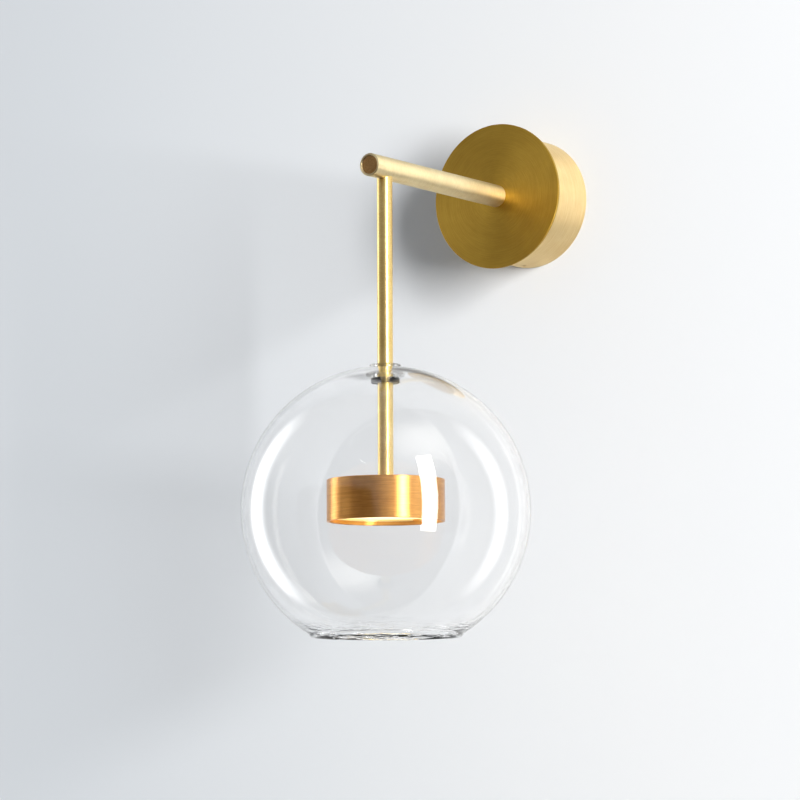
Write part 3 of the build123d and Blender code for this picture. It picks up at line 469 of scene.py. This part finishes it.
wall_size = 6.0
wall_gap = 0.4 * MM  # the wall stands this far behind the plane y = 0, so that the two never share a face
opening_r = 45 * MM  # the wall is open inside the drum
shaded_end, lit_end = -0.45, 0.1  # from left to right: where the wall's painted shade is coolest and darkest, and where it is whitest
room_dark, room_light = -0.55, 0.25  # slope of a mirrored ray: darkest below the first, lightest above the second


def painted_wall():
    """Matt paint with painted shade: cooler and darker on the left, where less of the lamp's light falls, and
    whiter on the right. From behind it isn't there, and it is open inside the drum, so that the pieces there are
    lit when they are seen from the back."""
    material, tree = start("wall_paint_with_painted_shade")
    place = add(tree, "TexCoord").outputs["Object"]
    spot = add(tree, "SeparateXYZ", links={0: place}).outputs[0]
    share = add(tree, "MapRange", {"From Min": shaded_end, "From Max": lit_end}, {"Value": spot}).outputs[0]
    # Painted shade: the paint goes from a cooler, darker tone on the left to a whiter one on the right
    tones = {"data_type": "RGBA", 6: linear("#E3E7EB"), 7: linear("#EBECED")}
    colour = add(tree, "Mix", tones, {0: share}).outputs[2]
    paint = add(tree, "BsdfDiffuse", links={"Color": colour}).outputs[0]
    behind = add(tree, "NewGeometry").outputs["Backfacing"]
    reach = add(tree, "VectorMath", {"operation": "DISTANCE", 1: canopy}, {0: place}).outputs["Value"]
    inside = add(tree, "Math", {"operation": "LESS_THAN", 1: opening_r}, {0: reach}).outputs[0]
    missing = add(tree, "Math", {"operation": "MAXIMUM"}, {0: behind, 1: inside}).outputs[0]
    gone = add(tree, "BsdfTransparent").outputs[0]
    end(tree, add(tree, "MixShader", {}, {0: missing, 1: paint, 2: gone}).outputs[0])
    return material


deselect()
bpy.ops.mesh.primitive_plane_add(size=wall_size, location=(0, wall_gap, 0), rotation=(pi / 2, 0, 0))
studio_wall = bpy.context.object
studio_wall.name = "studio_wall"
bpy.ops.object.transform_apply(location=True, rotation=True, scale=True)
studio_wall.data.materials.append(painted_wall())


def studio_world():
    """The room round the wall. Matt surfaces get an even grey light from it, the camera and clear pieces see a
    pale background, and mirrored rays see a room that is dark below and light above."""
    world = bpy.data.worlds.new("studio")
    world.use_nodes = True
    tree = world.node_tree
    tree.nodes.clear()
    rays = add(tree, "LightPath").outputs
    seen = {0: rays["Is Camera Ray"], 1: rays["Is Transmission Ray"]}
    seen = add(tree, "Math", {"operation": "MAXIMUM"}, seen).outputs[0]
    mirrored = {0: rays["Glossy Depth"]}
    mirrored = add(tree, "Math", {"operation": "GREATER_THAN", 1: 0.5}, mirrored).outputs[0]
    tones = {"data_type": "RGBA", 6: linear("#8A8C8E"), 7: linear("#E8E9EA")}
    shade = add(tree, "Mix", tones, {0: seen}).outputs[2]
    way = add(tree, "TexCoord").outputs["Generated"]
    way = add(tree, "SeparateXYZ", links={0: way}).outputs[2]
    height = add(tree, "MapRange", {"From Min": room_dark, "From Max": room_light}, {"Value": way}).outputs[0]
    tones = {"data_type": "RGBA", 6: linear("#5E5C5A"), 7: linear("#CFCFCF")}
    room = add(tree, "Mix", tones, {0: height}).outputs[2]
    shade = add(tree, "Mix", {"data_type": "RGBA"}, {0: mirrored, 6: shade, 7: room}).outputs[2]
    sky = add(tree, "Background", {"Strength": 1.0}, {"Color": shade}).outputs[0]
    add(tree, "OutputWorld", links={"Surface": sky})
    return world


scene.world = studio_world()


def away(azimuth, elevation):
    """The direction with an azimuth and elevation. Azimuth 0 is straight out of the wall, 90 is to the right."""
    a, e = radians(azimuth), radians(elevation)
    return Vector((sin(a) * cos(e), -cos(a) * cos(e), sin(e)))


# The lamp: one large soft box to the right. Its level is how bright it alone makes a white wall.

lamp_way = away(58.6, 3.5)
lamp_distance = 4.5
lamp_level = 0.84
light = bpy.data.lights.new("key_soft_box", "AREA")
light.shape = "RECTANGLE"
light.size, light.size_y = 1.25, 2.3
light.energy = lamp_level * pi * pi * lamp_distance**2 / -lamp_way.y
lamp = bpy.data.objects.new("key_soft_box", light)
scene.collection.objects.link(lamp)
lamp.location = canopy + lamp_distance * lamp_way
lamp.rotation_euler = lamp_way.to_track_quat("Z", "Y").to_euler()
lamp.visible_camera = False
lamp.visible_glossy = False
lamp.visible_transmission = False


def card(name, place, facing, size, colour, strength, soft=0.0):
    """A glowing or dark card that only reflections show, and that lights nothing else. facing is the way that
    its plane is turned. soft is how much of the way from its edges to its middle fades."""
    deselect()
    bpy.ops.mesh.primitive_plane_add(size=1, location=place, rotation=facing.to_track_quat("Z", "Y").to_euler())
    thing = bpy.context.object
    thing.name = name
    thing.scale = (*size, 1)
    material, tree = start(name)
    rays = add(tree, "LightPath").outputs
    depths = {0: rays["Glossy Depth"], 1: rays["Diffuse Depth"]}
    mirrored = add(tree, "Math", {"operation": "SUBTRACT"}, depths).outputs[0]
    shown = add(tree, "Math", {"operation": "GREATER_THAN", 1: 0.5}, {0: mirrored}).outputs[0]
    if soft:
        spot = add(tree, "TexCoord").outputs["Object"]
        spot = add(tree, "SeparateXYZ", links={0: spot})
        edges = {"interpolation_type": "SMOOTHSTEP", "From Min": 0.5, "From Max": 0.5 - 0.5 * soft}
        for side in (0, 1):
            reach = add(tree, "Math", {"operation": "ABSOLUTE"}, {0: spot.outputs[side]}).outputs[0]
            fade = add(tree, "MapRange", edges, {"Value": reach}).outputs[0]
            shown = add(tree, "Math", {"operation": "MULTIPLY"}, {0: shown, 1: fade}).outputs[0]
    glow = add(tree, "Emission", {"Color": linear(colour), "Strength": strength}).outputs[0]
    gone = add(tree, "BsdfTransparent").outputs[0]
    end(tree, add(tree, "MixShader", {}, {0: shown, 1: gone, 2: glow}).outputs[0])
    thing.data.materials.append(material)
    thing.visible_camera = False
    thing.visible_diffuse = False
    thing.visible_shadow = False


# The crisp white strip on the globe
way = away(67.5, 9)
card("key_face", globe_centre + way, way, (0.22, 1.04), "#FFFBF5", 24)
# The soft white bands down the globe and the bright left edge of the head
way = away(-84, 0)
card("left_panel", globe_centre + 0.9 * way, way, (0.46, 2.2), "#FFFFFF", 4.2, 0.75)
# The light band on the arm and the drum, and the fan on the disc
way = away(66, 40)
card("right_panel", canopy + 1.5 * way, way, (2.2, 1.5), "#FFFDF8", 3.6, 0.9)
# Darkens the wall's image in the top of the glass, round the stop ring
way = away(0, 0)
card("dark_flag", Vector((-0.16, -0.002, 0.21)), way, (0.24, 0.28), "#1E1D1C", 1.0, 0.5)
# The dark middle of the head and the deeper gold of the disc
way = away(-7, -16)
card("dark_card", globe_centre + 1.7 * way, way, (2.4, 2.2), "#4A2E12", 1.0, 0.2)

# Camera, at the photograph's place. back is the way that it looks from.

back = away(34.0, -6.17)
right = Z_AXIS.cross(back).normalized()
up = back.cross(right)
roll = radians(-0.25)
right, up = cos(roll) * right + sin(roll) * up, -sin(roll) * right + cos(roll) * up
camera_data = bpy.data.cameras.new("camera")
camera_data.sensor_width = 36
camera_data.lens = 160.1
camera = bpy.data.objects.new("camera", camera_data)
scene.collection.objects.link(camera)
stand = Matrix.Translation((1.37336, -2.21204, -0.42595))
camera.matrix_world = stand @ Matrix((right, up, back)).transposed().to_4x4()
scene.camera = camera

scene.view_settings.view_transform = "Standard"
